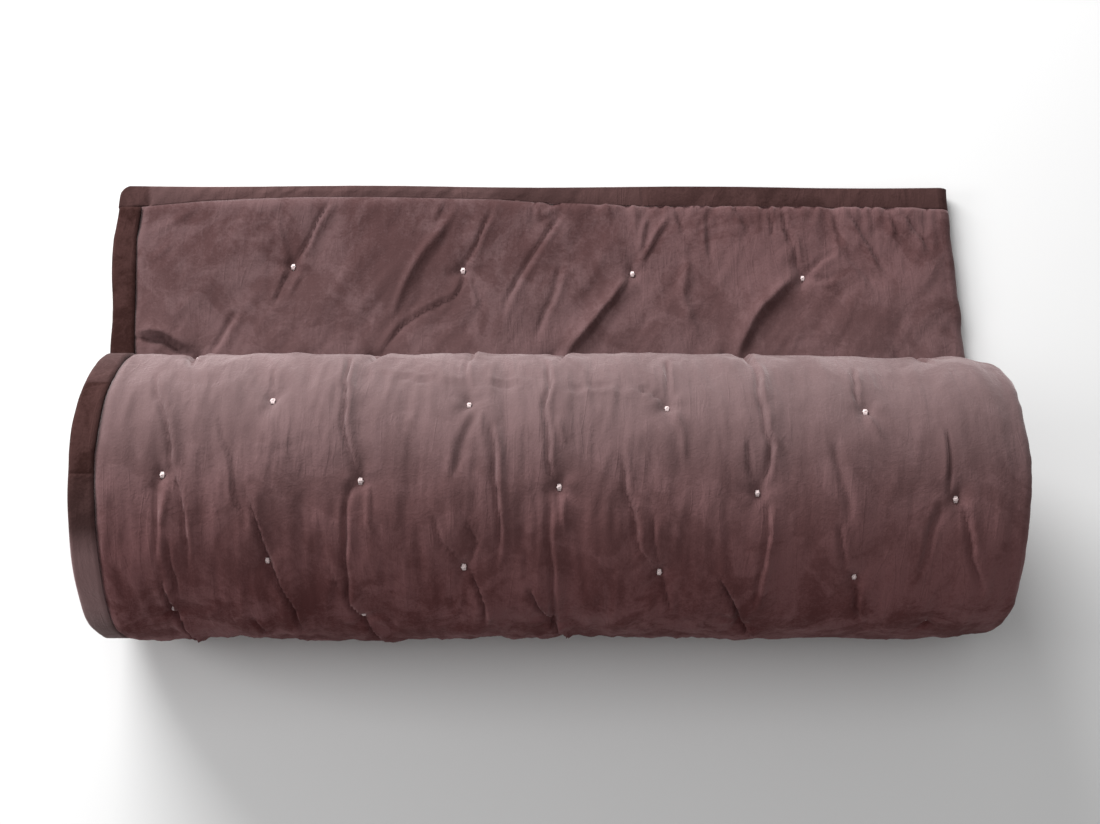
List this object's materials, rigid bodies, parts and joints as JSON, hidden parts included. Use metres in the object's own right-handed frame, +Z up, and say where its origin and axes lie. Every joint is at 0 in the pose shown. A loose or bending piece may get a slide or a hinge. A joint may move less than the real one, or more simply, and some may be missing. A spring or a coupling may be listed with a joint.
{
  "type": "folded velvet bedspread",
  "caption": "Tufted velvet bedspread with bound edges, folded lengthwise and rolled up, its end lying flat behind the roll.",
  "frame": {"origin": "middle of the underside of the whole rolled bedspread, on the surface it rests on", "axes": "+X along the roll from the bound side edges to the fold, +Y from the roll towards the flat end, +Z up"},
  "size_m": [0.9126, 0.511, 0.2698],
  "materials": {
    "velvet": "dusty mauve brown cotton velvet, soft nap with pale sheen",
    "binding": "dark brown velvet band, folded over the edge",
    "thread": "pale pink cotton thread"
  },
  "bodies": {
    "root": {"quilt": "velvet", "binding_side_under": "binding", "binding_side_over": "binding", "binding_far_end": "binding", "binding_core_end": "binding", "knot_01": "thread", "knot_02": "thread", "knot_03": "thread", "knot_04": "thread", "knot_05": "thread", "knot_06": "thread", "knot_07": "thread", "knot_08": "thread", "knot_09": "thread", "knot_10": "thread", "knot_11": "thread", "knot_12": "thread", "knot_13": "thread", "knot_14": "thread", "knot_15": "thread", "knot_16": "thread", "knot_17": "thread", "knot_18": "thread", "knot_19": "thread", "knot_20": "thread", "knot_21": "thread", "knot_22": "thread", "knot_23": "thread", "knot_24": "thread", "knot_25": "thread", "knot_26": "thread", "knot_27": "thread", "knot_28": "thread", "knot_29": "thread", "knot_30": "thread", "knot_31": "thread", "knot_32": "thread", "knot_33": "thread", "knot_34": "thread", "knot_35": "thread", "knot_36": "thread", "knot_37": "thread", "knot_38": "thread", "knot_39": "thread", "knot_40": "thread", "knot_41": "thread", "knot_42": "thread", "knot_43": "thread", "knot_44": "thread", "knot_45": "thread"}
  },
  "joints": []
}
